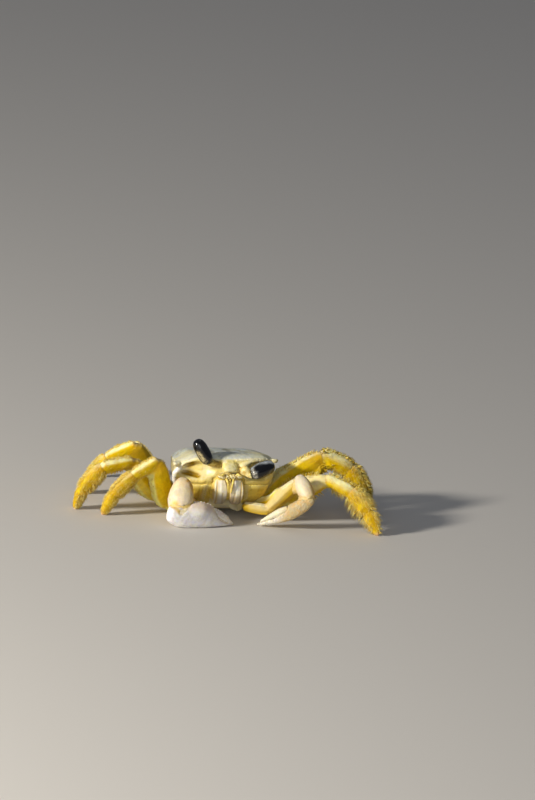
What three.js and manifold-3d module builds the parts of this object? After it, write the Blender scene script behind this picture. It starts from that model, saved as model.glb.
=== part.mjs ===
// Ghost crab (Ocypode), life size, standing low with both claws folded in front of its mouth.
// Millimetres, +Z up. The crab faces -Y, so its left side is +X. It stands on the plane z = 0.

import * as THREE from 'three';
import { mergeVertices } from 'three/addons/utils/BufferGeometryUtils.js';
import Module from 'manifold-3d';

const wasm = await Module();
wasm.setup();

// ---------------------------------------------------------------- driving dimensions

const JOINT_GAP = 0.3;             // clearance between neighbouring shell pieces

const CARAPACE_HALF_WIDTH = 19.7;  // at the tips of the outer orbital teeth
const CARAPACE_FRONT = -17.2;      // front edge, measured from the middle of the body
const CARAPACE_BACK = 17;          // rear edge
const CARAPACE_TAPER = 0.28;       // how much narrower the rear is than the front, as a share
const FRONT_BOW = 0.15;            // how far the outer corners sit behind the middle of the front
const MARGIN_LEVEL = 8.2;          // the sharp side edge of the carapace, above the trunk's middle
const SIDE_FALL = 1;               // how far that edge sinks from the front corner to the rear one
const REAR_DROOP = 2.2;            // how far the back bends down towards its rear edge
const DOME_RISE = 2;             // height of the back above that edge
const TRUNK_HEIGHT = 12;           // the trunk's middle above the floor
const TRUNK_SHIFT = 1.2;           // the trunk leans over its left legs
const TRUNK_PITCH = -9;            // degrees, nose up
const TRUNK_ROLL = -3;             // degrees, back towards the right side

const MOUTH_HALF_WIDTH = 6;
const MOUTH_SHIFT = 0.7;           // the mouth sits a little towards the left side
const MOUTH_TOP = 1.4;             // above the trunk's middle
const MOUTH_BOTTOM = -8.6;
const CHEEK_TOP = -1.1;            // where the carapace ends and the cheek begins
const CHEEK_BOTTOM = -8.4;
const CHEEK_BACK = -3.5;

const EYE_LENGTH = 10.2;
const EYE_RADIUS = 2.35;

const SHELL_YELLOW = 0xc89a2a;
const SHELL_PALE = 0xe6d9b4;
const SHELL_GREY = 0x9a9d92;
const CLAW_WHITE = 0xebe3d8;
const EYE_BLACK = 0x0b0b0d;

// ---------------------------------------------------------------- solids

function toSolid(geometry) {
  const bare = geometry.clone();
  bare.deleteAttribute('normal');
  bare.deleteAttribute('uv');
  const merged = mergeVertices(bare, 1e-4);
  return new wasm.Manifold(new wasm.Mesh({
    numProp: 3,
    vertProperties: new Float32Array(merged.attributes.position.array),
    triVerts: new Uint32Array(merged.index.array),
  }));
}

function toGeometry(solid) {
  const mesh = solid.getMesh();
  const geometry = new THREE.BufferGeometry();
  geometry.setAttribute('position', new THREE.BufferAttribute(mesh.vertProperties, mesh.numProp));
  geometry.setIndex(new THREE.BufferAttribute(mesh.triVerts, 1));
  geometry.computeVertexNormals();
  return geometry;
}

function join(...geometries) {
  return toGeometry(geometries.map(toSolid).reduce((whole, piece) => whole.add(piece)));
}

function cut(geometry, ...tools) {
  return toGeometry(tools.map(toSolid).reduce((whole, tool) => whole.subtract(tool), toSolid(geometry)));
}

function common(geometry, tool) {
  return toGeometry(toSolid(geometry).intersect(toSolid(tool)));
}

function box(low, high) {
  const size = new THREE.Vector3(...high).sub(new THREE.Vector3(...low));
  const middle = new THREE.Vector3(...high).add(new THREE.Vector3(...low)).divideScalar(2);
  return new THREE.BoxGeometry(size.x, size.y, size.z).translate(middle.x, middle.y, middle.z);
}

const TINY = 1e-6;

// A signed power: 1 leaves a circle round, less than 1 makes it squarer.
function rounded(value, power) {
  return Math.abs(value) < TINY ? 0 : Math.sign(value) * Math.abs(value) ** power;
}

// The row of a table at a place between two of its stations, blended smoothly. The first number of
// each station is its place.
function sizesAt(stations, place) {
  const last = stations.length - 1;
  let after = stations.findIndex((station) => station[0] >= place);
  if (after < 0) after = last;
  if (after === 0) after = 1;
  const from = stations[after - 1];
  const to = stations[after];
  const blend = THREE.MathUtils.smootherstep(place, from[0], to[0]);
  const straight = THREE.MathUtils.clamp((place - from[0]) / (to[0] - from[0]), 0, 1);
  const mix = (blend + straight) / 2;
  return from.map((value, index) => THREE.MathUtils.lerp(value, to[index], mix)).slice(1);
}

// A closed limb piece along +X. Each station is [distance, half thickness, rise, fall]. The ends
// close in blunt round caps, blunter still as bluntness drops below 1, and sag bows the piece
// downwards in the middle.
function limb(stations, options = {}) {
  const { around = 8, rings = 7, squareness = 0.85, bluntness = 1, sag = 0, grow = 0 } = options;
  const capPower = 0.32 * bluntness;
  const geometry = new THREE.SphereGeometry(1, around, rings);
  geometry.rotateZ(-Math.PI / 2);
  const positions = geometry.attributes.position;
  const start = stations[0][0];
  const end = stations.at(-1)[0];
  const direction = new THREE.Vector3();
  for (let i = 0; i < positions.count; i += 1) {
    direction.fromBufferAttribute(positions, i);
    const share = (rounded(direction.x, bluntness) + 1) / 2;
    const ring = Math.hypot(direction.y, direction.z);
    const cap = ring < TINY ? 0 : ring ** capPower / ring;
    const [thickness, rise, fall] = sizesAt(stations, THREE.MathUtils.lerp(start, end, share));
    const height = direction.z > 0 ? rise : fall;
    const side = ring < TINY ? 0 : rounded(direction.y / ring, squareness) * ring;
    const up = ring < TINY ? 0 : rounded(direction.z / ring, squareness) * ring;
    positions.setXYZ(
      i,
      THREE.MathUtils.lerp(start - grow, end + grow, share),
      side * cap * (thickness + grow),
      up * cap * (height + grow) - sag * Math.sin(Math.PI * share),
    );
  }
  return geometry;
}

// The same piece and its swollen twin, which is what its neighbours make room for.
function limbPair(stations, options = {}) {
  return {
    shape: limb(stations, options),
    swollen: limb(stations, { ...options, grow: JOINT_GAP }),
  };
}

// Turns geometry that lies along +X so that it runs from one place to another, with its top
// towards the given side.
function placeBetween(from, to, top = [0, 0, 1]) {
  const start = new THREE.Vector3(...from);
  const along = new THREE.Vector3(...to).sub(start).normalize();
  const side = new THREE.Vector3(...top).cross(along).normalize();
  const up = along.clone().cross(side);
  return new THREE.Matrix4().makeBasis(along, side, up).setPosition(start);
}

function distance(from, to) {
  return new THREE.Vector3(...from).distanceTo(new THREE.Vector3(...to));
}

const crab = new THREE.Group();

function shell(colour, roughness = 0.55) {
  return new THREE.MeshStandardMaterial({ color: colour, roughness, metalness: 0 });
}

function addPart(group, name, pair, material) {
  const mesh = new THREE.Mesh(pair.shape, material);
  mesh.name = name;
  mesh.userData.swollen = pair.swollen;
  group.add(mesh);
  return mesh;
}

// Cuts room for a neighbour out of a part, wherever the two are placed.
function makeRoom(part, neighbour) {
  part.updateWorldMatrix(true, false);
  neighbour.updateWorldMatrix(true, false);
  const place = part.matrixWorld.clone().invert().multiply(neighbour.matrixWorld);
  part.geometry = cut(part.geometry, neighbour.userData.swollen.clone().applyMatrix4(place));
}

// Trims a part to a small flat where it meets the floor.
function standOnFloor(part) {
  const reach = 200;
  part.updateWorldMatrix(true, false);
  const ground = box([-reach, -reach, -reach], [reach, reach, 0]);
  part.geometry = cut(part.geometry, ground.applyMatrix4(part.matrixWorld.clone().invert()));
}

// ---------------------------------------------------------------- trunk

const trunk = new THREE.Group();
trunk.position.set(TRUNK_SHIFT, 0, TRUNK_HEIGHT);
trunk.rotation.set(
  THREE.MathUtils.degToRad(TRUNK_PITCH),
  THREE.MathUtils.degToRad(TRUNK_ROLL),
  0,
);
crab.add(trunk);

// Plan outlines from the belly up: [height, half width, front, back].
const TRUNK_LEVELS = [
  [-10.6, 17, -10.4, 6.5],
  [-8, 18.8, -12.6, 10],
  [-4, 19.8, -15, 13.2],
  [0, 20.2, -16.5, 15.4],
  [4, 20.4, -17, 16.6],
  [MARGIN_LEVEL, 20, CARAPACE_FRONT, CARAPACE_BACK],
];

// Horizontal outlines stacked upwards: nearly square in front, narrowing behind, doming over the
// sharp side edge and closing below in a belly that is kept level with the floor.
function trunkShape() {
  const frontPower = 0.36;
  const backPower = 0.56;
  const domePower = 0.42;
  const bellyPower = 0.26;
  const geometry = new THREE.SphereGeometry(1, 26, 12);
  geometry.rotateX(Math.PI / 2);
  const positions = geometry.attributes.position;
  const direction = new THREE.Vector3();
  const bellyDepth = MARGIN_LEVEL - TRUNK_LEVELS[0][0];
  const levelling = Math.tan(-THREE.MathUtils.degToRad(TRUNK_PITCH));
  for (let i = 0; i < positions.count; i += 1) {
    direction.fromBufferAttribute(positions, i);
    const ring = Math.hypot(direction.x, direction.y);
    const above = direction.z > 0;
    const height = MARGIN_LEVEL + direction.z * (above ? DOME_RISE : bellyDepth);
    const [halfWidth, front, back] = sizesAt(TRUNK_LEVELS, Math.min(height, MARGIN_LEVEL));
    const across = ring < TINY ? 0 : direction.x / ring;
    const deep = ring < TINY ? 0 : direction.y / ring;
    const closing = ring < TINY ? 0 : ring ** (above ? domePower : bellyPower);
    const power = deep < 0 ? frontPower : backPower;
    const share = Math.abs(rounded(across, power));
    const bow = deep < 0 ? 1 - FRONT_BOW * share * share : 1;
    const y = Math.abs(rounded(deep, power)) * (deep < 0 ? front : back) * bow * closing;
    const fromFront = (y - CARAPACE_FRONT) / (CARAPACE_BACK - CARAPACE_FRONT);
    const sinking = THREE.MathUtils.clamp(-direction.z, 0, 1);
    const droop = REAR_DROOP * (Math.max(0, y) / CARAPACE_BACK) ** 2;
    const sideFall = SIDE_FALL * fromFront * (share * closing) ** 2;
    positions.setXYZ(
      i,
      rounded(across, power) * halfWidth * closing * (1 - CARAPACE_TAPER * fromFront),
      y,
      height + sinking * y * levelling - (1 - sinking) * (droop + sideFall),
    );
  }
  return geometry;
}

// The orbit is a deep trough under the front edge, from beside the rostrum to the outer tooth.
function orbit(side) {
  const inner = [side * 3.8, -18.2, 4.2];
  const outer = [side * 18.2, -15, 4.6];
  const stations = [
    [0, 1.8, 2, 2.2],
    [4, 3.4, 3, 3.3],
    [10, 3.8, 3.5, 3.7],
    [distance(inner, outer), 3, 3.2, 3.5],
  ];
  return limb(stations, { around: 10, rings: 8 }).applyMatrix4(placeBetween(inner, outer));
}

function outerTooth(side) {
  const root = [side * 15.2, -8, 7.7];
  const tip = [side * CARAPACE_HALF_WIDTH, -15, 8.2];
  const stations = [[0, 3, 1.2, 2], [distance(root, tip), 0.9, 0.5, 1.3]];
  return limb(stations, { around: 8, rings: 5 }).applyMatrix4(placeBetween(root, tip));
}

// The front bends down between the eyestalks and ends in a rounded lobe.
function rostrum() {
  const top = [0.6, -14.4, 8.4];
  const bottom = [0.8, -19, 3.8];
  const stations = [[0, 2.6, 1.3, 1.3], [3, 3, 1.5, 1.5], [distance(top, bottom), 2.8, 1.5, 1.5]];
  return limb(stations, { around: 10, rings: 7 }).applyMatrix4(placeBetween(top, bottom));
}

const wholeTrunk = cut(
  join(trunkShape(), outerTooth(1), outerTooth(-1)),
  orbit(1),
  orbit(-1),
);
const frontedTrunk = join(wholeTrunk, rostrum());

const FAR = 60;
const HALF_GAP = JOINT_GAP / 2;
const mouthFrame = box(
  [MOUTH_SHIFT - MOUTH_HALF_WIDTH - JOINT_GAP, -FAR, MOUTH_BOTTOM - JOINT_GAP],
  [MOUTH_SHIFT + MOUTH_HALF_WIDTH + JOINT_GAP, -12.6, MOUTH_TOP + JOINT_GAP],
);
const aboveCheeks = box([-FAR, -FAR, CHEEK_TOP + HALF_GAP], [FAR, FAR, FAR]);

function single(geometry) {
  return { shape: geometry, swollen: geometry };
}

const carapace = addPart(
  trunk,
  'carapace',
  single(cut(common(frontedTrunk, aboveCheeks), mouthFrame)),
  shell(SHELL_GREY),
);

function cheekBlock(side, gap) {
  const inner = MOUTH_SHIFT + side * (MOUTH_HALF_WIDTH + JOINT_GAP - gap);
  const low = [Math.min(inner, side * FAR), -FAR, CHEEK_BOTTOM + HALF_GAP - gap];
  const high = [Math.max(inner, side * FAR), CHEEK_BACK - HALF_GAP + gap, CHEEK_TOP - HALF_GAP + gap];
  return box(low, high);
}

const cheeks = [1, -1].map((side) => addPart(
  trunk,
  side > 0 ? 'cheek_left' : 'cheek_right',
  single(common(frontedTrunk, cheekBlock(side, 0))),
  shell(SHELL_YELLOW),
));

// The sternum is the rest of the underside, with the hip rings of the claws and legs joined on.
const HIP_LEVEL = 4.8;
const LEG_HIPS = [
  [14, -9.6],
  [15, -3.2],
  [15, 3.4],
  [12.6, 9.6],
];
const CLAW_HIP = [10, -13, 4.8];

function hipRing(place, inward, radius) {
  const [x, y, z] = place;
  const root = [x - inward, y * 0.7, z + 0.8];
  const stations = [[0, radius * 0.9, radius, radius], [distance(root, place), radius, radius, radius]];
  return limb(stations, { around: 6, rings: 3 }).applyMatrix4(placeBetween(root, place));
}

const hipRings = [1, -1].flatMap((side) => [
  ...LEG_HIPS.map(([x, y]) => hipRing([side * x, y, HIP_LEVEL], side * 8, 2.6)),
  hipRing([side * CLAW_HIP[0], CLAW_HIP[1], CLAW_HIP[2]], side * 5, 2.9),
]);
trunk.updateWorldMatrix(true, false);
const intoTrunk = trunk.matrixWorld.clone().invert();

const underside = cut(
  frontedTrunk,
  box([-FAR, -FAR, CHEEK_TOP - HALF_GAP], [FAR, FAR, FAR]),
  cheekBlock(1, JOINT_GAP),
  cheekBlock(-1, JOINT_GAP),
  mouthFrame,
);
const hips = join(...hipRings).applyMatrix4(intoTrunk);
const hipsBelow = cut(
  hips,
  box([-FAR, -FAR, CHEEK_TOP - HALF_GAP], [FAR, FAR, FAR]),
  cheekBlock(1, JOINT_GAP),
  cheekBlock(-1, JOINT_GAP),
  mouthFrame,
);
const sternum = addPart(trunk, 'sternum', single(join(underside, hipsBelow)), shell(SHELL_PALE));

// Folded tail plate under the rear of the sternum, broad behind and narrow in front.
const tailRear = [0, 14, 0.4];
const tailFront = [0, -4, -11.2];
const tailPair = limbPair([
  [0, 5.5, 1, 1.2],
  [5, 5, 1, 1.2],
  [11, 3.4, 0.9, 0.9],
  [distance(tailRear, tailFront), 1.3, 0.6, 0.5],
], { around: 10, sag: 3.2 });
const abdomen = addPart(trunk, 'abdomen', tailPair, shell(SHELL_PALE));
abdomen.applyMatrix4(placeBetween(tailRear, tailFront));

// Third maxillipeds: two bowed plates side by side that close the mouth. A groove across each marks
// the joint between its long lower piece and its shorter upper one.
function maxilliped(side, grow) {
  const centre = MOUTH_SHIFT + side * (MOUTH_HALF_WIDTH / 2 + JOINT_GAP / 4);
  const halfPlate = MOUTH_HALF_WIDTH / 2 - JOINT_GAP / 2;
  const foot = [centre, -13.8, MOUTH_BOTTOM + 0.4];
  const head = [centre, -16.3, MOUTH_TOP - 0.2];
  const length = distance(foot, head);
  const plate = limb([
    [-0.3, halfPlate * 0.84, 1.3, 1.2],
    [length * 0.3, halfPlate, 1.7, 1.2],
    [length * 0.55, halfPlate, 1.8, 1.2],
    [length, halfPlate * 0.82, 1.1, 1],
  ], { squareness: 0.5, rings: 9, sag: -0.9, grow });
  const grooveFloor = 2.1 + grow;
  const groove = box([length * 0.53, -FAR, grooveFloor], [length * 0.56, FAR, FAR]);
  return cut(plate, groove).applyMatrix4(placeBetween(foot, head, [0, -1, 0]));
}

const maxillipeds = [1, -1].map((side) => addPart(
  trunk,
  side > 0 ? 'maxilliped_left' : 'maxilliped_right',
  { shape: maxilliped(side, 0), swollen: maxilliped(side, JOINT_GAP) },
  shell(SHELL_PALE),
));

// The ridge between the front and the mouth, where the small feelers fold away.
const epistomeRight = [MOUTH_SHIFT - 4.6, -17, MOUTH_TOP + 0.8];
const epistomeLeft = [MOUTH_SHIFT + 5, -17, MOUTH_TOP + 0.8];
const epistomePair = limbPair([
  [0, 1, 0.5, 0.5],
  [3, 1.4, 0.8, 0.7],
  [7.4, 1.4, 0.8, 0.7],
  [distance(epistomeRight, epistomeLeft), 1, 0.5, 0.5],
]);
const epistome = addPart(trunk, 'epistome', epistomePair, shell(SHELL_YELLOW));
epistome.applyMatrix4(placeBetween(epistomeRight, epistomeLeft));

// ---------------------------------------------------------------- eyes

// The right eye stands up and leans outwards. The left one lies folded in its orbit.
const EYES = [
  { name: 'right', root: [-2.6, -16.4, 6.2], foot: [-7.6, -17.6, 7.6], tip: [-13.5, -17.8, 16.9] },
  { name: 'left', root: [2.8, -16.4, 5], foot: [8.8, -18.6, 3.1], tip: [17.8, -16.6, 7] },
];

for (const { name, root, foot, tip } of EYES) {
  const stalkLength = distance(root, foot);
  const stalk = addPart(trunk, `eyestalk_${name}`, limbPair([
    [0, 0.8, 0.8, 0.8],
    [stalkLength * 0.5, 1.1, 1.1, 1.1],
    [stalkLength + 0.8, 1.5, 1.5, 1.5],
  ]), shell(SHELL_PALE, 0.4));
  stalk.applyMatrix4(placeBetween(root, foot));
  const eye = addPart(trunk, `eye_${name}`, limbPair([
    [-0.6, EYE_RADIUS * 0.72, EYE_RADIUS * 0.72, EYE_RADIUS * 0.72],
    [2.4, EYE_RADIUS * 0.9, EYE_RADIUS * 0.92, EYE_RADIUS * 0.92],
    [EYE_LENGTH * 0.6, EYE_RADIUS, EYE_RADIUS, EYE_RADIUS],
    [EYE_LENGTH - 0.6, EYE_RADIUS * 0.86, EYE_RADIUS * 0.86, EYE_RADIUS * 0.86],
  ], { around: 12, rings: 8, squareness: 1 }), shell(EYE_BLACK, 0.08));
  eye.applyMatrix4(placeBetween(foot, tip, [0, 1, 0]));
  makeRoom(stalk, eye);
  makeRoom(carapace, stalk);
  makeRoom(carapace, eye);
}
makeRoom(carapace, epistome);
for (const plate of maxillipeds) {
  makeRoom(carapace, plate);
  makeRoom(sternum, plate);
  for (const cheek of cheeks) makeRoom(cheek, plate);
}
makeRoom(sternum, abdomen);
makeRoom(carapace, abdomen);

// ---------------------------------------------------------------- claws

// One claw from hip to finger tip. Places are the joint centres above the floor. The knuckle and
// the finger's tip are places along the hand and above its axis.
function claw(name, places, sizes, hipCut) {
  const { hip, knee, elbow, wrist, tip } = places;
  const group = new THREE.Group();
  crab.add(group);

  const armShape = (grow) => join(
    limb([[-1, 2, 2, 2], [distance(hip, knee) + 1, 2.2, 2.2, 2.2]], { rings: 5, grow })
      .applyMatrix4(placeBetween(hip, knee)),
    limb(sizes.merus(distance(knee, elbow)), { around: 10, grow })
      .applyMatrix4(placeBetween(knee, elbow, [0, -0.4, 1])),
  );
  const arm = { shape: armShape(0), swollen: armShape(JOINT_GAP) };
  const merus = addPart(group, `claw_${name}_merus`, arm, shell(SHELL_YELLOW));

  const carpusPair = limbPair(sizes.carpus(distance(elbow, wrist)), { around: 12 });
  const carpus = addPart(group, `claw_${name}_carpus`, carpusPair, shell(CLAW_WHITE));
  carpus.applyMatrix4(placeBetween(elbow, wrist, [0, -1, 0.4]));

  const handLength = distance(wrist, tip);
  const handOptions = { around: 12, rings: 11, squareness: 0.8, sag: sizes.sag };
  const handPair = limbPair(sizes.hand(handLength), handOptions);
  const hand = addPart(group, `claw_${name}_hand`, handPair, shell(CLAW_WHITE));
  hand.applyMatrix4(placeBetween(wrist, tip));

  const { knuckle, fingerTip } = sizes;
  const fingerPair = limbPair(sizes.finger(distance(knuckle, fingerTip)), { around: 8, rings: 8 });
  const finger = addPart(group, `claw_${name}_finger`, fingerPair, shell(CLAW_WHITE));
  finger.applyMatrix4(placeBetween(wrist, tip).multiply(placeBetween(knuckle, fingerTip)));

  makeRoom(hand, finger);
  makeRoom(carpus, hand);
  makeRoom(merus, carpus);
  for (const part of hipCut) makeRoom(part, merus);
  standOnFloor(hand);
  standOnFloor(finger);
  return { merus, carpus, hand, finger };
}

// The right claw is the large one, folded so that its palm stands on the floor before the mouth.
const rightClaw = claw('right', {
  hip: [-CLAW_HIP[0], CLAW_HIP[1], CLAW_HIP[2]],
  knee: [-12.6, -15.6, 5.4],
  elbow: [-16.9, -22.4, 14.2],
  wrist: [-19.2, -29.4, 5.4],
  tip: [4, -22.8, 0.9],
}, {
  merus: (length) => [
    [-1, 2, 2.2, 2.2],
    [4, 2.5, 2.7, 2.7],
    [8, 2.8, 3, 3],
    [length + 0.6, 2.2, 2.4, 2.4],
  ],
  carpus: (length) => [
    [-2.8, 2.6, 2.6, 2.6],
    [1.5, 4.3, 4.3, 4],
    [6.5, 4.7, 4.8, 4.3],
    [length + 1.4, 3.2, 3.4, 3.2],
  ],
  hand: (length) => [
    [-4.1, 2.9, 2.6, 5.2],
    [2, 3.4, 4.6, 5.7],
    [7, 3.5, 5.8, 4.4],
    [12, 3.3, 5.6, 3.5],
    [16, 2.5, 3, 2.7],
    [20, 1.7, 0.7, 2],
    [length + 0.4, 0.7, 0.3, 0.8],
  ],
  finger: (length) => [
    [-2, 1.7, 2.1, 1.8],
    [1.6, 2, 2.2, 1.9],
    [5, 1.6, 1.6, 1.4],
    [length + 0.3, 0.5, 0.5, 0.4],
  ],
  knuckle: [14.4, 0, 2.2],
  fingerTip: [24, 0, -0.1],
  sag: 0,
}, [sternum, cheeks[1], carapace]);

// The left claw is slender, its arm raised at the side and its hand curving down to the floor.
const leftClaw = claw('left', {
  hip: [CLAW_HIP[0], CLAW_HIP[1], CLAW_HIP[2]],
  knee: [18.6, -15.2, 4.4],
  elbow: [28, -19.4, 18],
  wrist: [31, -26, 12.4],
  tip: [13.2, -22, 0.8],
}, {
  merus: (length) => [
    [-1.6, 1.8, 2, 2],
    [4, 2.2, 2.9, 2.6],
    [10, 2.4, 3.3, 3],
    [length + 0.6, 1.9, 2.3, 2.1],
  ],
  carpus: (length) => [
    [-2, 2, 2, 2],
    [1.6, 2.9, 3.1, 2.7],
    [6, 3, 3.2, 2.8],
    [length + 0.8, 2.1, 2.4, 2.2],
  ],
  hand: (length) => [
    [-1.6, 1.5, 2, 1.9],
    [3, 2, 2.9, 2.7],
    [8, 2.1, 2.9, 2.6],
    [11.4, 1.7, 1.4, 2.2],
    [15, 1.2, 0.3, 1.7],
    [length + 0.3, 0.6, 0.3, 0.7],
  ],
  finger: (length) => [
    [-1.4, 1.2, 1.3, 1.2],
    [2, 1.35, 1.5, 1.2],
    [5, 1.1, 1.1, 0.9],
    [length + 0.2, 0.5, 0.5, 0.4],
  ],
  knuckle: [9.8, 0, 0.6],
  fingerTip: [19.8, 0, 0.4],
  sag: 1.3,
}, [sternum, cheeks[0], carapace]);

// ---------------------------------------------------------------- walking legs

// Lengths: [ischium, merus, carpus, propodus, dactylus]. The heights set how deep the merus is and
// how deep the pieces beyond it are.
const LEG_SIZES = [
  { lengths: [6.5, 22.5, 10.5, 10, 9.2], merusHeight: 8.6, height: 8.4 },
  { lengths: [7, 24.5, 12, 11, 9.5], merusHeight: 9.2, height: 9.2 },
  { lengths: [7, 24.5, 11.5, 10.5, 9.1], merusHeight: 10.4, height: 8.8 },
  { lengths: [5.5, 16, 8, 8, 7.5], merusHeight: 5.6, height: 5.6 },
];

// Poses in degrees: sweep is how far the leg points forwards, lean tips its plane forwards, and the
// five slopes are those of its pieces above the level.
const LEG_POSES = {
  right: [
    { sweep: 19.5, lean: 16, slopes: [-20, 64, -37.5, -54, -76] },
    { sweep: 17, lean: 22, slopes: [-9.5, 46, -13, -66, -90] },
    { sweep: -4, lean: 24, slopes: [-20.5, 65, -40.5, -63, -80] },
    { sweep: -42, lean: 0, slopes: [-4, 48, -22, -51, -74] },
  ],
  left: [
    { sweep: 17, lean: -13.5, slopes: [19.5, 29.5, -18.9, -43, -58.8] },
    { sweep: -1, lean: -6, slopes: [24, 39, -22, -58, -84] },
    { sweep: -9, lean: -4, slopes: [18.5, 27, -11.5, -45.5, -70] },
    { sweep: -60, lean: 0, slopes: [-4, 28, -16, -26, -56] },
  ],
};

// Half thickness, rise and fall of each piece as shares of its height, at shares of its length.
const LEG_SHAPES = {
  ischium: [[-0.2, 0.24, 0.26, 0.26], [1.15, 0.24, 0.3, 0.3]],
  merus: [
    [-0.03, 0.19, 0.25, 0.25],
    [0.18, 0.25, 0.45, 0.47],
    [0.42, 0.26, 0.53, 0.62],
    [0.75, 0.24, 0.45, 0.53],
    [1.0, 0.21, 0.3, 0.31],
  ],
  carpus: [
    [-0.08, 0.18, 0.25, 0.24],
    [0.3, 0.21, 0.29, 0.29],
    [0.7, 0.22, 0.32, 0.32],
    [1.02, 0.21, 0.31, 0.31],
  ],
  propodus: [
    [-0.07, 0.2, 0.28, 0.27],
    [0.3, 0.22, 0.33, 0.33],
    [0.75, 0.21, 0.32, 0.32],
    [1.02, 0.18, 0.27, 0.27],
  ],
  dactylus: [
    [-0.08, 0.17, 0.24, 0.24],
    [0.3, 0.18, 0.26, 0.26],
    [0.65, 0.15, 0.21, 0.21],
    [1.05, 0.08, 0.09, 0.09],
  ],
};

const LEG_BLUNTNESS = 0.65;

function legStations(shape, length, height) {
  return LEG_SHAPES[shape].map(([place, ...sizes]) => [
    place * length,
    ...sizes.map((size) => size * height),
  ]);
}

function walkingLeg(sideName, number) {
  const side = sideName === 'left' ? 1 : -1;
  const { lengths, merusHeight, height } = LEG_SIZES[number];
  const { sweep, lean, slopes } = LEG_POSES[sideName][number];
  const [x, y] = LEG_HIPS[number];
  const name = `leg_${sideName}_${number + 1}`;

  const root = new THREE.Group();
  root.position.set(side * x, y, HIP_LEVEL);
  root.rotation.z = side > 0 ? -THREE.MathUtils.degToRad(sweep) : Math.PI + THREE.MathUtils.degToRad(sweep);
  crab.add(root);
  const plane = new THREE.Group();
  plane.rotation.x = side * THREE.MathUtils.degToRad(lean);
  root.add(plane);

  const merusTurn = new THREE.Matrix4().makeRotationY(-THREE.MathUtils.degToRad(slopes[1] - slopes[0]));
  merusTurn.setPosition(lengths[0], 0, 0);
  const merusShape = (grow) => join(
    limb(legStations('ischium', lengths[0], height), { around: 6, rings: 4, grow }),
    limb(legStations('merus', lengths[1], merusHeight), { bluntness: LEG_BLUNTNESS, grow })
      .applyMatrix4(merusTurn),
  );
  const hip = new THREE.Group();
  hip.rotation.y = -THREE.MathUtils.degToRad(slopes[0]);
  plane.add(hip);
  const merus = addPart(
    hip,
    `${name}_merus`,
    { shape: merusShape(0), swollen: merusShape(JOINT_GAP) },
    shell(SHELL_YELLOW),
  );

  const parts = [merus];
  let joint = new THREE.Group();
  joint.applyMatrix4(merusTurn);
  hip.add(joint);
  ['carpus', 'propodus', 'dactylus'].forEach((piece, index) => {
    const next = new THREE.Group();
    next.position.x = lengths[index + 1];
    next.rotation.y = -THREE.MathUtils.degToRad(slopes[index + 2] - slopes[index + 1]);
    joint.add(next);
    const pair = limbPair(
      legStations(piece, lengths[index + 2], height),
      { rings: 5, bluntness: LEG_BLUNTNESS },
    );
    parts.push(addPart(next, `${name}_${piece}`, pair, shell(SHELL_YELLOW)));
    joint = next;
  });
  for (let i = 0; i < parts.length - 1; i += 1) makeRoom(parts[i], parts[i + 1]);
  makeRoom(sternum, merus);
  makeRoom(carapace, merus);
  for (const cheek of cheeks) makeRoom(cheek, merus);
  standOnFloor(parts.at(-1));
}

for (const sideName of ['right', 'left']) {
  for (let number = 0; number < LEG_SIZES.length; number += 1) walkingLeg(sideName, number);
}

// ---------------------------------------------------------------- origin

// The origin is the middle of the footprint, on the floor.
crab.updateMatrixWorld(true);
const bounds = new THREE.Box3().setFromObject(crab, true);
const middle = bounds.getCenter(new THREE.Vector3());
crab.position.set(-middle.x, -middle.y, 0);
crab.updateMatrixWorld(true);

export default crab;
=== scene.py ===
import math

import bmesh
import bpy
import numpy as np
from mathutils import Matrix, Vector, noise
from mathutils.bvhtree import BVHTree
from mathutils.kdtree import KDTree


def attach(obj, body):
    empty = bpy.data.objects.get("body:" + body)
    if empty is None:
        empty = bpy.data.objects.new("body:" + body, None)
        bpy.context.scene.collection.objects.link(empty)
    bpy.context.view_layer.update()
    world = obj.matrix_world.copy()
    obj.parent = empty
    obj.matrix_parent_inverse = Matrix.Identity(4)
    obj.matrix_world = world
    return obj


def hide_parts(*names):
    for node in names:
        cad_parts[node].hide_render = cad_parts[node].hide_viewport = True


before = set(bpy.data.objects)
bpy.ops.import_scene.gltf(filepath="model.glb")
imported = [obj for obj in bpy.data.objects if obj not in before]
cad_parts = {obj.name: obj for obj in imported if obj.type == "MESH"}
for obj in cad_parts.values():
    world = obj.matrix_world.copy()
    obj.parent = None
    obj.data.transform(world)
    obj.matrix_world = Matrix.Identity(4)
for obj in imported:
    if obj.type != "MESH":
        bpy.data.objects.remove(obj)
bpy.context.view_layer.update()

# ---------------------------------------------------------------- carapace
# The back shield is one thin limy plate. Its flat top has a fine grain and an H-shaped dent, and
# in front it bends down round the two eye sockets and ends in a lobe between the eyestalks.
MM = 0.001
COARSE_GRAIN = 0.4
INWARD, OUTWARD = 0.6, -0.625  # two steps that even out small bumps and keep the size
BROAD_OUTWARD = -0.606  # evens out broader bumps too


def placed(name, data):
    """A new object in the scene, made of some data."""
    made = bpy.data.objects.new(name, data)
    bpy.context.scene.collection.objects.link(made)
    return made


def cast(name, nodes, grain, rounds, rounding=0):
    """One even, smooth skin over the solids of some nodes, its broad facets rounded off first."""
    rough = bmesh.new()
    for node in nodes:
        rough.from_mesh(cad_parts[node].data)
    bmesh.ops.remove_doubles(rough, verts=rough.verts, dist=0.002 * MM)
    mesh = bpy.data.meshes.new(name)
    rough.to_mesh(mesh)
    rough.free()
    piece = placed(name, mesh)
    if rounding:
        round_off(piece, rounding)
    remake(piece, grain)
    ease(piece, rounds)
    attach(piece, "root")
    return piece


def cast_shell(name, *nodes, grain, rounds, swell=0.0, rounding=0):
    """A plate of shell that stands for some nodes, swollen a little towards its neighbours."""
    piece = cast(name, nodes, grain, rounds, rounding)
    raise_surface(piece, swell)
    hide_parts(*nodes)
    return piece


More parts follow.
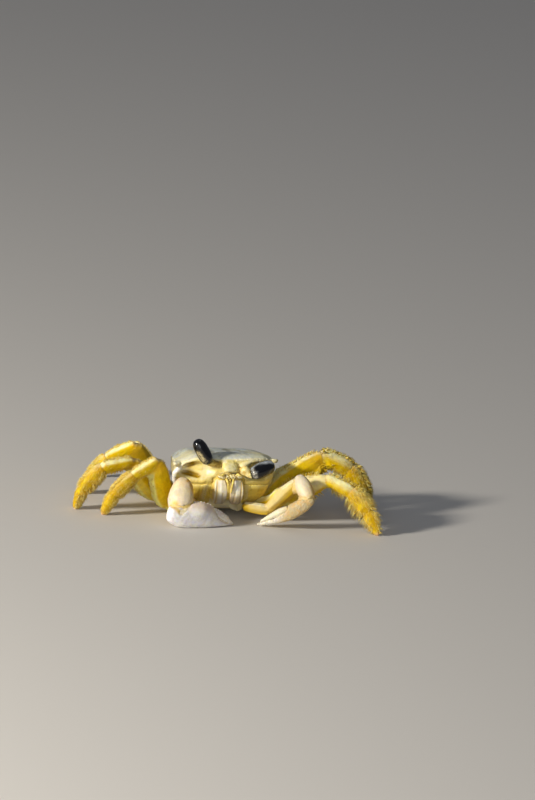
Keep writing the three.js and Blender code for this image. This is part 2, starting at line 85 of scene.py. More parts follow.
def remake(piece, grain):
    """Makes a piece's mesh anew as one closed skin of even small squares."""
    even = piece.modifiers.new("even", "REMESH")
    even.mode = "VOXEL"
    even.voxel_size = grain * MM
    graph = bpy.context.evaluated_depsgraph_get()
    made = bpy.data.meshes.new_from_object(piece.evaluated_get(graph))
    piece.modifiers.clear()
    piece.data = made
    made.shade_smooth()


def round_off(piece, rounds):
    """Evens out a piece's broader bumps, on a coarser mesh."""
    remake(piece, COARSE_GRAIN)
    ease(piece, rounds, outward=BROAD_OUTWARD)


def surface(piece):
    """A piece's points in millimetres, and their outward directions."""
    count = len(piece.data.vertices)
    places = np.zeros(count * 3)
    piece.data.vertices.foreach_get("co", places)
    normals = np.zeros(count * 3, np.float32)
    piece.data.vertex_normals.foreach_get("vector", normals)
    return places.reshape(-1, 3) / MM, normals.reshape(-1, 3).astype(float)


def move(piece, places):
    """Puts a piece's points at new places, in millimetres."""
    piece.data.vertices.foreach_set("co", (places * MM).astype(np.float32).ravel())
    piece.data.update()


def raise_surface(piece, heights):
    """Moves each point outward by its height, in millimetres."""
    places, normals = surface(piece)
    move(piece, places + normals * np.broadcast_to(heights, len(places))[:, None])


def ease(piece, rounds, outward=OUTWARD):
    """Evens out facets by turns inward and outward, so that the piece keeps its size."""
    places = surface(piece)[0]
    ends = np.zeros(len(piece.data.edges) * 2, np.int32)
    piece.data.edges.foreach_get("vertices", ends)
    first, second = ends.reshape(-1, 2).T
    joined = np.bincount(ends, minlength=len(places))[:, None]
    for _ in range(rounds):
        for step in (INWARD, outward):
            pull = np.stack([
                np.bincount(first, places[second, axis], len(places))
                + np.bincount(second, places[first, axis], len(places))
                for axis in range(3)
            ], 1) / joined
            places = places + (pull - places) * step
    move(piece, places)


def rise(values, low, high):
    """0 below low, 1 above high, easing between."""
    share = np.clip((values - low) / (high - low), 0, 1)
    return share * share * (3 - 2 * share)


def mound(gaps, reach):
    """1 at a gap of 0, falling smoothly to 0 at the reach."""
    return (1 - np.clip(gaps / reach, 0, 1) ** 2) ** 2


def from_line(spots, *corners):
    """How far each spot is from a bent line."""
    nearest = np.full(len(spots), np.inf)
    for start, end in zip(np.array(corners[:-1], float), np.array(corners[1:], float)):
        along = end - start
        share = np.clip((spots - start) @ along / (along @ along), 0, 1)
        nearest = np.minimum(nearest, np.linalg.norm(spots - start - share[:, None] * along, axis=1))
    return nearest


def from_spot(spots, centre, sizes):
    """0 at the centre of an oval, 1 at its edge."""
    return np.linalg.norm((spots - np.array(centre, float)) / sizes, axis=1)


def cloud(spots, size, shift=0.0):
    """Soft random patches of a size in millimetres, from about 0 to 1."""
    evenness, finer_by, layers = 0.7, 2.1, 4
    return np.array([
        0.5 + 0.9 * noise.fractal(Vector(spot / size + shift), evenness, finer_by, layers)
        for spot in spots
    ])


def grains(piece, where, spacing, reach, height, seed):
    """Raises small round grains, about one to each spacing, where the given points are."""
    places = surface(piece)[0]
    chance = np.random.default_rng(seed)
    seen = set()
    seeds = []
    for index in chance.permutation(np.flatnonzero(where)):
        cell = tuple(np.floor(places[index] / spacing).astype(int))
        if cell not in seen:
            seen.add(cell)
            seeds.append(index)
    if not seeds:
        return np.zeros(len(places))
    near = KDTree(len(seeds))
    for number, index in enumerate(seeds):
        near.insert(Vector(places[index]), number)
    near.balance()
    sizes = chance.uniform(0.75, 1.15, len(seeds))
    found = [near.find(Vector(place)) for place in places]
    gaps = np.array([entry[2] for entry in found])
    scale = sizes[[entry[1] for entry in found]]
    heights = height * scale * mound(gaps, reach * scale)
    raise_surface(piece, heights)
    return heights


def pigment(red, green, blue):
    """A colour given in everyday 0 to 255 steps, as linear light."""
    steps = np.array([red, green, blue]) / 255
    return np.where(steps <= 0.04045, steps / 12.92, ((steps + 0.055) / 1.055) ** 2.4)


def plain(places, *colour):
    """The same colour at every place."""
    return np.tile(pigment(*colour), (len(places), 1))


def cover(colours, colour, amount):
    """Lays a colour over others, as strongly as each amount says."""
    share = np.broadcast_to(np.clip(amount, 0, 1), len(colours))[:, None]
    return colours * (1 - share) + pigment(*colour) * share


def layered(colours, *layers):
    """Lays several colours over others, one after the other."""
    for colour, amount in layers:
        colours = cover(colours, colour, amount)
    return colours


def new_material(name):
    """A new material, with its nodes and its main shader."""
    material = bpy.data.materials.new(name)
    material.use_nodes = True
    return material, material.node_tree, material.node_tree.nodes["Principled BSDF"]


def tune(node, settings):
    """Sets inputs of a shader node by their names, and gives the node back."""
    for name, value in settings.items():
        node.inputs[name].default_value = value
    return node


def shell_finish(name, roughness=0.42, mottle=0.14, bead=0.45, bead_depth=0.1, glow=0.1, gloss=0.4):
    """Crab shell: its own colours broken by faint mottling, with a finely beaded, waxy surface."""
    material, tree, skin = new_material(name)
    place = tree.nodes.new("ShaderNodeTexCoord").outputs["Object"]

    def patches(scale, detail):
        node = tune(tree.nodes.new("ShaderNodeTexNoise"), {"Scale": scale, "Detail": detail})
        tree.links.new(place, node.inputs["Vector"])
        return node.outputs["Fac"]

    def between(source, low, high):
        node = tune(tree.nodes.new("ShaderNodeMapRange"), {
            "From Min": 0.3, "From Max": 0.7, "To Min": low, "To Max": high,
        })
        tree.links.new(source, node.inputs["Value"])
        return node.outputs["Result"]

    tint = tree.nodes.new("ShaderNodeAttribute")
    tint.attribute_name = "tint"
    mottling = tree.nodes.new("ShaderNodeMix")
    mottling.data_type = "RGBA"
    mottling.blend_type = "MULTIPLY"
    tune(mottling, {"Factor": 1})
    shade = tree.nodes.new("ShaderNodeCombineColor")
    level = between(patches(420, 5), 1 - mottle, 1 + mottle * 0.5)
    tree.links.new(level, shade.inputs["Red"])
    tree.links.new(level, shade.inputs["Green"])
    tree.links.new(between(patches(900, 3), 1 - mottle * 1.4, 1 + mottle * 0.4), shade.inputs["Blue"])
    tree.links.new(tint.outputs["Color"], mottling.inputs["A"])
    tree.links.new(shade.outputs["Color"], mottling.inputs["B"])
    tree.links.new(mottling.outputs["Result"], skin.inputs["Base Color"])
    dullness = between(patches(700, 4), roughness - 0.08, roughness + 0.12)
    tree.links.new(dullness, skin.inputs["Roughness"])

    beads = tree.nodes.new("ShaderNodeTexVoronoi")
    beads.feature = "SMOOTH_F1"
    tune(beads, {"Scale": 1 / (bead * MM), "Smoothness": 0.6})
    tree.links.new(place, beads.inputs["Vector"])
    beading = tree.nodes.new("ShaderNodeBump")
    beading.invert = True
    tune(beading, {"Strength": 0.7, "Distance": bead_depth * MM})
    tree.links.new(beads.outputs["Distance"], beading.inputs["Height"])
    waves = tune(tree.nodes.new("ShaderNodeBump"), {"Strength": 0.5, "Distance": 0.2 * MM})
    tree.links.new(patches(650, 4), waves.inputs["Height"])
    tree.links.new(beading.outputs["Normal"], waves.inputs["Normal"])
    tree.links.new(waves.outputs["Normal"], skin.inputs["Normal"])

    tune(skin, {
        "Subsurface Weight": glow, "Subsurface Radius": (1.0, 0.6, 0.25), "Subsurface Scale": 1.2 * MM,
        "Specular IOR Level": gloss,
    })
    return material


def finish(piece, colours, material):
    """Keeps a piece's own colours on it, for its material to read, gives it that material, and
    flattens what would reach through the floor."""
    tint = piece.data.color_attributes.new("tint", "FLOAT_COLOR", "POINT")
    full = np.ones((len(colours), 4), np.float32)
    full[:, :3] = np.clip(colours, 0, 1)
    tint.data.foreach_set("color", full.ravel())
    places = surface(piece)[0]
    places[:, 2] = np.maximum(places[:, 2], 0)
    move(piece, places)
    piece.data.materials.clear()
    piece.data.materials.append(material)


# The body's own directions: across, back and up from the middle of the trunk.
body_middle = np.array([-3.785, -5.58, 12])
nose_down, roll = math.radians(-9), math.radians(-3)
body_turn = np.array(Matrix.Rotation(nose_down, 3, "X") @ Matrix.Rotation(roll, 3, "Y"))


def on_body(places):
    """Places as the body's own (across, back, up). Across is 0 in the middle of the crab."""
    return (places - body_middle) @ body_turn


carapace = cast_shell("carapace_shell", "carapace", grain=0.3, rounds=30, swell=0.06)
places, normals = surface(carapace)
spots = on_body(places)
facing = normals @ body_turn
across, back, up = spots.T
aside = np.abs(across)
half = np.stack([-aside, back, up], 1)  # both sides folded on to the right one

upper_hollow = from_spot(half, (-13.9, -13.6, 6.3), (3.3, 4.0, 2.2))
lower_hollow = from_line(half, (-15.8, -12.8, 3.5), (-13.2, -13.0, 2.6), (-10.8, -14.0, 1.9)) / 1.25
socket_ridge = from_line(half, (-17, -12.5, 5.0), (-13.6, -12.9, 4.5), (-9.4, -13.6, 4.5))
lower_rim = from_line(half, (-18, -11.6, 1.0), (-15.5, -14.0, 0.4), (-11, -15.5, 0.0), (-5, -16.2, 0.4))
upper_rim = from_line(half, (-3.4, -16.8, 8.3), (-9, -16.6, 8.9), (-14, -15.4, 8.9), (-18.6, -13.6, 8.2))
outer_wall = from_line(half, (-17.3, -13.2, 7.0), (-18.3, -11.4, 3.6), (-18.0, -9.4, -0.4))
stalk_root = from_spot(half, (-5.6, -16.0, 5.8), (2.0, 1.8, 1.7))
left_stalk_root = from_spot(spots, (7.0, -15.2, 6.0), (2.9, 3.2, 2.3))
wall_corner = from_line(half, (-18.2, -10.6, 3.0), (-17.6, -8.6, -1.2))
front_lobe = from_spot(spots, (0.6, -18.6, 5.6), (3.4, 2.6, 3.0))
below_lobe = from_spot(spots, (0.6, -18.4, 3.0), (3.6, 2.6, 1.7))
left_corner = from_spot(spots, (17.4, -11.4, 8.4), (4.4, 4.4, 4.0))
left_tooth = from_spot(spots, (19.6, -14.8, 7.4), (2.0, 2.4, 2.0))
gill_swelling = from_spot(half, (-11, -1.5, 9.6), (6.5, 9, 3))
cross_dent = from_line(half[:, :2], (-0.0, 0.6), (-3.2, 0.4))
side_dent = from_line(half[:, :2], (-4.4, -8.5), (-3.2, -3), (-3.6, 0.6), (-5.4, 5.5), (-4.8, 9))
heart_dent = from_line(half[:, :2], (0, 8.8), (-4.6, 8.6))
top_side = rise(facing[:, 2], 0.4, 0.8)

open_socket = np.where(across < 0, 1, 0.25)
heights = open_socket * (-0.6 * mound(upper_hollow, 1) - 0.5 * mound(lower_hollow, 1))
heights += 0.3 * mound(socket_ridge, 0.9)
heights += 0.28 * mound(lower_rim, 0.8) + 0.16 * mound(upper_rim, 0.7)
heights += 0.3 * mound(outer_wall, 1.3) * (across < 0)
heights += 0.9 * mound(stalk_root, 1) + 1.7 * mound(left_stalk_root, 1) + 0.9 * mound(wall_corner, 3.2)
heights -= top_side * (0.2 * mound(cross_dent, 2.0) + 0.26 * mound(side_dent, 2.4))
heights -= top_side * (0.14 * mound(heart_dent, 2.2) - 0.35 * mound(gill_swelling, 1))
heights -= 0.5 * mound(left_corner, 1) + 0.8 * mound(below_lobe, 1) + 0.3 * mound(left_tooth, 1)
raise_surface(carapace, heights)

# The right side edge is rounded down.
places = surface(carapace)[0]
drop = 1.8 * mound(from_line(spots[:, (0, 2)], (-19.0, 9.6), (-19.0, 8.4)), 8.0)
move(carapace, places - drop[:, None] * (0, 0, 1))

# Beads along the rims, and finer grains on the flanks and on the front lobe.
edge = (facing[:, 2] > 0.2) & (facing[:, 2] < 0.75) & (back > -13) & (up > 4.5)
rims = edge | (lower_rim < 0.5) | (upper_rim < 0.4)
flanks = (up > 5) & (back > -13) & ~edge & (aside > 9)
grains(carapace, rims, spacing=0.8, reach=0.5, height=0.22, seed=3)
grains(carapace, flanks, spacing=1.0, reach=0.5, height=0.1, seed=4)
grains(carapace, (facing[:, 2] < 0.2) & (back > -10), spacing=1.1, reach=0.55, height=0.12, seed=5)
grains(carapace, front_lobe < 1, spacing=1.0, reach=0.55, height=0.12, seed=6)

# The face is yellow and cream. Its socket floors are deep yellow, partly their own colour and partly
# painted shade, strongest in the open right socket, and its outer wall is pale, whitened with a painted
# highlight on the lit right side.
patch = cloud(places, 3.4)
speck = cloud(places, 1.3, 7.0)
wall = rise(-facing[:, 1] + facing[:, 2] * 0.6, 0.55, 0.1) * rise(aside, 13, 16) * rise(back, -12.5, -10.5)
colours = layered(
    plain(places, 232, 212, 132),
    ((238, 226, 176), rise(back, -12.5, -15.5) * rise(patch, 0.3, 0.7)),
    ((226, 204, 112), rise(-up, -1.6, 0.6)),
    ((228, 214, 166), mound(from_spot(half, (-7.8, -15.2, 3.8), (4.4, 4, 3.0)), 1)),
    ((228, 204, 118), 0.7 * mound(socket_ridge, 1.0)),
    # Socket floors: deep yellow, partly their own colour and partly painted shade, full strength in the
    # open right socket.
    ((176, 138, 4), 1.7 * open_socket * mound(upper_hollow, 1.05)),
    ((166, 130, 2), 1.7 * open_socket * mound(lower_hollow, 1.35)),
    ((228, 200, 106), 0.8 * mound(lower_rim, 1.0)),
    ((172, 160, 122), wall * (0.75 + 0.4 * speck)),
    ((222, 200, 130), wall * rise(-up, -3.5, 1)),
    ((232, 220, 176), rise(-back, 8.5, 11) * rise(up, 2.5, 5) * rise(aside, 13, 16)),
    # The white outer wall, on the lit right side only: partly pale shell, partly a painted highlight.
    ((250, 248, 243), 2.4 * mound(outer_wall, 1.4) * (across < 0)),
)

# The top is greyish green, clouded with olive and blue grey, and cream towards its front corners.
corner = rise(aside, 7.5, 13) * rise(-back, 1, 9)
back_colours = layered(
    plain(places, 208, 210, 202),
    ((224, 222, 200), rise(speck, 0.35, 0.85) * 0.8),
    ((146, 144, 112), rise(patch, 0.4, 0.9) * 0.7),
    ((172, 184, 190), rise(-patch, -0.6, -0.1) * 0.6),
    ((132, 126, 98), 0.4 * mound(side_dent, 1.8) + 0.3 * mound(cross_dent, 1.5)),
    ((234, 223, 176), corner * (0.75 + 0.4 * speck)),
    ((234, 232, 208), rise(-back, 8.5, 14.5) * (0.35 + 0.7 * speck)),
    ((168, 166, 128), 0.6 * mound(from_spot(spots, (16.4, -11.6, 9.2), (3.4, 3.4, 3)), 1)),
    ((214, 206, 168), mound(np.abs(facing[:, 2] - 0.45), 0.3) * rise(back, -13, -11)),
)
above = rise(up + 0.1 * back, 6.4, 7.3) * rise(facing[:, 2], 0.12, 0.4)
colours = colours * (1 - above[:, None]) + back_colours * above[:, None]
lobe = mound(front_lobe, 1)
colours = layered(
    colours,
    ((236, 226, 180), mound(upper_rim, 0.75) * (across < 14.5)),
    # A cream patch on the right front corner: partly cream shell, partly painted light over the shade of a
    # recess.
    ((234, 224, 182), 1.3 * mound(from_spot(spots, (-17.6, -14.2, 7.8), (2.6, 2.6, 2.2)), 1)),
    ((226, 216, 166), lobe * (0.8 + 0.4 * speck)),
    ((196, 176, 96), 0.6 * lobe * rise(patch, 0.5, 0.7)),
    ((236, 218, 150), 1.2 * mound(stalk_root, 1.1)),
    ((236, 222, 162), 1.3 * mound(from_spot(spots, (7.0, -15.6, 6.0), (3.0, 3.4, 2.4)), 1)),
    # An olive-gold spot between the right eyestalk's foot and the front lobe: painted shade of the raised
    # eye.
    ((168, 132, 40), mound(from_spot(spots, (-4.0, -16.6, 7.2), (2.2, 1.6, 1.2)), 1)),
    ((150, 142, 98), 1.2 * mound(from_spot(spots, (19.6, -14.8, 7.4), (2.6, 2.8, 2.6)), 1)),
)
carapace_finish = shell_finish("carapace_shell", roughness=0.38, bead=0.5, bead_depth=0.08, glow=0.06)
finish(carapace, colours, carapace_finish)

# ---------------------------------------------------------------- cheeks
# The cheeks are the soft yellow side plates beside the mouth, under the eye sockets. They meet the
# carapace in a fine seam.
cheek_finish = shell_finish("cheek_shell", roughness=0.42, bead=0.6, bead_depth=0.06)
cheek_rim = ((-7.6, -15.4, -1.4), (-8.2, -13.6, -5.2), (-8.4, -13.0, -8.2))
for side, sign in (("right", -1), ("left", 1)):
    cheek = cast_shell(f"cheek_{side}_shell", f"cheek_{side}", grain=0.24, rounds=25, swell=0.09)
    places = surface(cheek)[0]
    spots = on_body(places) * (-sign, 1, 1)
    rim = from_line(spots, *cheek_rim)
    crease = np.abs(spots[:, 0] + 9.6)
    raise_surface(cheek, 0.22 * mound(rim, 0.7) - 0.15 * mound(crease, 0.5))
    colours = layered(
        plain(places, 214, 184, 70),
        ((190, 152, 40), rise(cloud(places, 2.6), 0.45, 0.7) * 0.6),
        ((236, 214, 128), rise(spots[:, 2], -3.4, -1.4) * 0.9),
        ((226, 212, 160), 0.4 * mound(rim, 1.2)),
        # Darker towards the bottom: painted shade under the claws.
        ((176, 152, 84), rise(-spots[:, 2], 4.5, 8) * 0.6),
    )
    finish(cheek, colours, cheek_finish)

# ---------------------------------------------------------------- mouth frame
# Under the front lobe the small feelers lie folded in a ribbed, cream and yellow frill. It is thin
# shell, set in between the carapace, the cheeks and the mouth plates.
frill = cast_shell("mouth_frill", "epistome", grain=0.16, rounds=14, swell=0.22)
places, normals = surface(frill)
spots = on_body(places)
rib_spacing = 1.25
wander = cloud(places, 1.6) * 1.4
rib = np.abs(np.sin((spots[:, 0] - 0.6 + 0.35 * spots[:, 2] + wander) * math.pi / rib_spacing))
front = rise(-normals[:, 1], 0.1, 0.6)
raise_surface(frill, front * (0.32 * rib - 0.05))
colours = layered(
    plain(places, 184, 148, 40),
    ((240, 228, 180), rise(rib, 0.35, 0.85)),
)
finish(frill, colours, shell_finish("frill_shell", roughness=0.36, bead=0.4, bead_depth=0.03))


def rod(name, corners, radii, material, colour):
    """A tapered round rod along a smooth line, ends closed. Sizes in millimetres."""
    line = bpy.data.curves.new(name, "CURVE")
    line.dimensions = "3D"
    line.bevel_depth = MM
    line.bevel_resolution = 4
    line.use_fill_caps = True
    run = line.splines.new("NURBS")
    run.points.add(len(corners) - 1)
    for point, corner, radius in zip(run.points, corners, radii):
        point.co = (*(np.array(corner) * MM), 1)
        point.radius = radius
    run.order_u = 3
    run.use_endpoint_u = True
    run.resolution_u = 8
    holder = placed(name + "_line", line)
    graph = bpy.context.evaluated_depsgraph_get()
    mesh = bpy.data.meshes.new_from_object(holder.evaluated_get(graph))
    bpy.data.objects.remove(holder)
    piece = placed(name, mesh)
    mesh.shade_smooth()
    places = surface(piece)[0]
    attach(piece, "root")
    finish(piece, plain(places, *colour) * (0.85 + 0.3 * cloud(places, 0.9)[:, None]), material)


# ---------------------------------------------------------------- mouth plates
# The third maxillipeds close the mouth like two doors. Each is a long lower plate and a shorter
# upper one, grooved lengthwise, with a small yellow feeding palp hanging in the gap.
plate_finish = shell_finish("plate_shell", roughness=0.34, bead=0.7, bead_depth=0.035)
skin_finish = shell_finish("joint_skin", roughness=0.5, bead=0.35, bead_depth=0.05, glow=0.12)


def soft_skin(name, nodes, colour, reach, sink=0.12, grain=0.45):
    """The soft skin just under some plates, which shows only where it fills the joints between."""
    skin = cast(name, nodes, grain, rounds=6)
    raise_surface(skin, reach)
    remake(skin, grain)
    ease(skin, 12)
    raise_surface(skin, -reach - sink)
    ease(skin, 6)
    places = surface(skin)[0]
    finish(skin, plain(places, *colour) * (0.85 + 0.3 * cloud(places, 0.8)[:, None]), skin_finish)
    return skin


mouth_skin = soft_skin(
    "mouth_skin", ["carapace", "cheek_right", "cheek_left", "sternum", "epistome",
                   "maxilliped_right", "maxilliped_left"],
    (214, 184, 84), reach=0.6, sink=0.2,
)
across, back, up = on_body(surface(mouth_skin)[0]).T
mouth_middle = 0.7
trimmed = bmesh.new()
trimmed.from_mesh(mouth_skin.data)
trimmed.verts.ensure_lookup_table()
spare = np.flatnonzero((back > -9) | (up > 3.2) | ((up > 0.6) & (np.abs(across - mouth_middle) > 7.5)))
bmesh.ops.delete(trimmed, geom=[trimmed.verts[index] for index in spare], context="VERTS")
trimmed.to_mesh(mouth_skin.data)
trimmed.free()
for side, sign in (("right", -1), ("left", 1)):
    plate = cast_shell(f"maxilliped_{side}_shell", f"maxilliped_{side}", grain=0.2, rounds=12, swell=0.05)
    places, normals = surface(plate)
    spots = on_body(places)
    plate_middle = 3.08
    offset = (spots[:, 0] - mouth_middle) * sign - plate_middle
    front = rise(-normals[:, 1], 0.2, 0.7)
    seam = mound(np.abs(offset - 1.55), 0.4)
    groove = mound(np.abs(offset + 0.55 - 0.05 * spots[:, 2]), 0.55) * rise(-spots[:, 2], 3.4, 4.2)
    ridge = mound(np.abs(offset + 0.1), 0.9) * rise(spots[:, 2], -3.6, -2.6)
    raise_surface(plate, front * (0.12 * ridge - 0.2 * seam - 0.12 * groove))
    colours = layered(
        plain(places, 226, 214, 184),
        ((246, 240, 222), 0.9 * mound(np.abs(offset + 0.1), 1.3)),
        ((204, 162, 50), front * (0.9 * seam + 0.45 * groove)),
        # Darker towards the lower ends, more on the left plate: painted shade.
        ((146, 126, 96), rise(-spots[:, 2], 3.6, 6.6) * (0.6 if side == "right" else 0.9)),
        ((214, 182, 84), rise(spots[:, 2], 0.4, 1.4) * 0.7),
        ((196, 158, 60), rise(np.abs(offset), 2.1, 2.7) * 0.7),
    )
    finish(plate, colours, plate_finish)

    def at(across, back, up, sign=sign):
        """A place beside the middle of the mouth, given on the body's own directions."""
        return tuple(body_turn @ np.array([mouth_middle + sign * across, back, up]) + body_middle)

    rod(
        f"palp_{side}",
        [at(1.5, -17.6, 1.6), at(1.2, -18.6, 0.9), at(0.75, -18.9, -0.6),
         at(0.7, -18.6, -2.4), at(0.5, -18.2, -3.8)],
        [0.4, 0.46, 0.38, 0.32, 0.12],
        plate_finish, (228, 202, 104),
    )
    rod(
        f"feeler_{side}",
        [at(2.6, -18.4, 3.2), at(3.0, -19.0, 3.1), at(3.6, -19.3, 2.8), at(4.5, -19.3, 2.7)],
        [0.5, 0.45, 0.3, 0.1],
        plate_finish, (232, 206, 110),
    )

rod(
    "mouth_frame_tooth",
    [at(0, -16.6, 2.4), at(0, -17.5, 1.4), at(0, -17.6, 0), at(0, -17.4, -1.6)],
    [0.75, 0.7, 0.5, 0.2],
    plate_finish, (222, 194, 104),
)

# ---------------------------------------------------------------- underside
# The breast plate carries the hips of the claws and legs, and the tail folds flat under it. Both
# are smooth pale shell, in segments that meet in shallow grooves.
under_finish = shell_finish("under_shell", roughness=0.4, bead=0.8, bead_depth=0.04)
breast = cast_shell("sternum_shell", "sternum", grain=0.34, rounds=25, swell=0.08)
places, normals = surface(breast)
spots = on_body(places)
lengthways = places[:, 1] - body_middle[1]
sutures = np.minimum.reduce([np.abs(lengthways - line) for line in (-9.6, -6.4, 0.1, 6.5)])
below = rise(-normals[:, 2], 0.3, 0.8)
raise_surface(breast, -0.25 * below * mound(sutures, 0.6) * rise(np.abs(spots[:, 0]), 3, 5))
colours = layered(
    plain(places, 232, 222, 186),
    ((196, 168, 78), below * mound(sutures, 0.8) * 0.5),
    ((188, 158, 62), rise(np.abs(spots[:, 0]), 9, 14) * 0.6),
    # Darker olive towards the front, under the mouth: painted shade.
    ((150, 130, 60), rise(-spots[:, 1], 10, 13) * 0.7),
)
finish(breast, colours, under_finish)

tail = cast_shell("abdomen_shell", "abdomen", grain=0.24, rounds=20, swell=0.06)
places = surface(tail)[0]
lengthways = on_body(places)[:, 1]
rings = np.minimum.reduce([np.abs(lengthways - line) for line in (-2.2, 0.6, 3.4, 6.2, 9.0, 11.4)])
raise_surface(tail, -0.2 * mound(rings, 0.5))
colours = layered(
    plain(places, 236, 228, 200),
    ((206, 188, 130), 0.6 * mound(rings, 0.7)),
)
finish(tail, colours, under_finish)

# ---------------------------------------------------------------- eyes
# Each eye is a long glossy black bulb on a pale stalk. The pale, freckled skin of the stalk runs up
# one side of the bulb as a tongue. The left bulb's second, blue-white tongue along its top is partly
# that skin and partly a painted reflection.
stalk_finish = shell_finish("stalk_shell", roughness=0.34, bead=0.6, bead_depth=0.03)
# The right stalk's colours are darker than the left's: painted shade of the raised eye.
for side, colour, shade in (
    ("right", (206, 178, 92), (150, 116, 34)),
    ("left", (236, 218, 150), (208, 170, 76)),
):
    stalk = cast_shell(f"eyestalk_{side}_shell", f"eyestalk_{side}", grain=0.18, rounds=14, swell=0.2)
    places = surface(stalk)[0]
    if side == "left":
        folded_foot = from_spot(places, (2.3, -22.8, 20.3), (2.6, 2.6, 1.8))
        raise_surface(stalk, 1.3 * mound(folded_foot, 1))
    colours = layered(
        plain(places, *colour),
        (shade, rise(cloud(places, 1.2), 0.45, 0.7) * 0.8),
    )
    finish(stalk, colours, stalk_finish)

eye_finish, tree, cornea = new_material("eye_cornea")
tint = tree.nodes.new("ShaderNodeAttribute")
tint.attribute_name = "tint"
tree.links.new(tint.outputs["Color"], cornea.inputs["Base Color"])
facets = tune(tree.nodes.new("ShaderNodeTexVoronoi"), {"Scale": 1 / (0.09 * MM)})
place = tree.nodes.new("ShaderNodeTexCoord")
tree.links.new(place.outputs["Object"], facets.inputs["Vector"])
dimples = tune(tree.nodes.new("ShaderNodeBump"), {"Strength": 0.12, "Distance": 0.01 * MM})
tree.links.new(facets.outputs["Distance"], dimples.inputs["Height"])
tree.links.new(dimples.outputs["Normal"], cornea.inputs["Normal"])
tune(cornea, {
    "Roughness": 0.2, "Specular IOR Level": 0.3,
    "Coat Weight": 0.6, "Coat Roughness": 0.05, "Coat IOR": 1.5,
})

# Each eye's freckled tongues: its reach, strength, colour, how broken it is and the line it follows.
tongues = {
    "right": [
        (1.5, 0.85, (196, 180, 132), 1.0,
         ((-16.4, -23.2, 25.2), (-15.2, -23.5, 23.9), (-13.6, -23.6, 22.4))),
    ],
    "left": [
        (1.3, 0.9, (190, 184, 168), 1.0,
         ((5.2, -24.0, 20.2), (5.6, -24.9, 19.2), (6.0, -24.9, 18.0))),
        # The left bulb's blue-white tongue along its top: partly pale stalk skin, partly a painted
        # reflection.
        (1.35, 0.95, (206, 212, 214), 0.35,
         ((4.9, -23.0, 20.4), (7.1, -22.4, 21.9), (9.6, -22.6, 22.9), (12.4, -21.9, 23.3))),
    ],
}
# Each bulb is a long oval. It is this much longer and wider than its node on each side, and the
# fuller it is the blunter are its ends.
lengthening = 0.15
widening = {"right": 0.4, "left": 0.75}
fullness = {"right": 2.7, "left": 2.35}
for side in ("right", "left"):
    eye = cast_shell(f"eye_{side}_bulb", f"eye_{side}", grain=0.17, rounds=10)
    places = surface(eye)[0]
    middle = places.mean(0)
    axes = np.linalg.svd(places - middle, full_matrices=False)[2]
    turned = (places - middle) @ axes.T
    middle = middle + (turned.max(0) + turned.min(0)) / 2 @ axes
    turned = (places - middle) @ axes.T
    halves = (turned.max(0) - turned.min(0)) / 2 + (lengthening, widening[side], widening[side])
    round_ends = np.linalg.norm(turned[:, 1:] / halves[1:], axis=1)
    power = fullness[side]
    reach = (np.abs(turned[:, 0] / halves[0]) ** power + round_ends ** power) ** (1 / power)
    move(eye, middle + turned / reach[:, None] @ axes)
    ease(eye, 4)
    places = surface(eye)[0]
    freckles = rise(cloud(places, 0.75, 3.0), 0.3, 0.62)
    colours = plain(places, 8, 8, 11)
    for reach, strength, colour, broken, line in tongues[side]:
        breaks = 1 - broken * (0.75 - freckles)
        colours = cover(colours, colour, strength * mound(from_line(places, *line), reach) * breaks)
    finish(eye, colours, eye_finish)

# ---------------------------------------------------------------- claws
# One claw is much the larger. Its pale, finely grained palm rests on the floor before the mouth.
# Each claw has an arm, a rounded wrist, a palm and one hinged finger, joined by soft yellow skin.


def lengthwise(places, before):
    """How far along its piece each place is, from 0 near the body to 1, and which way the piece
    runs and is broad."""
    middle = places.mean(0)
    direction = np.linalg.svd(places - middle, full_matrices=False)[2][0]
    if (middle - before) @ direction < 0:
        direction = -direction
    breadth = np.array((0, 0, 1.0)) - direction * direction[2]
    breadth /= np.linalg.norm(breadth)
    along = (places - middle) @ direction
    return (along - along.min()) / (along.max() - along.min()), direction, breadth


def studs(piece, corners, count, reach, height):
    """A row of round knobs along a bent line, each on the nearest of the piece's points."""
    places, normals = surface(piece)
    corners = np.array(corners, float)
    steps = np.linalg.norm(np.diff(corners, axis=0), axis=1)
    run = np.concatenate([[0], np.cumsum(steps)]) / steps.sum()
    heights = np.zeros(len(places))
    for share in np.linspace(0, 1, count):
        spot = np.array([np.interp(share, run, corners[:, axis]) for axis in range(3)])
        nearest = places[np.linalg.norm(places - spot, axis=1).argmin()]
        gaps = np.linalg.norm(places - nearest, axis=1)
        heights = np.maximum(heights, height * mound(gaps, reach))
    move(piece, places + normals * heights[:, None])
    return heights / height


claw_finish = shell_finish("claw_shell", roughness=0.48, mottle=0.1, bead=0.75, bead_depth=0.05, glow=0.16)

arm = cast_shell("claw_right_merus_shell", "claw_right_merus", grain=0.24, rounds=25, swell=0.08)
places, normals = surface(arm)
colours = layered(
    plain(places, 214, 178, 60),
    ((236, 220, 160), rise(normals[:, 2], 0.2, 0.8)),
)
finish(arm, colours, claw_finish)

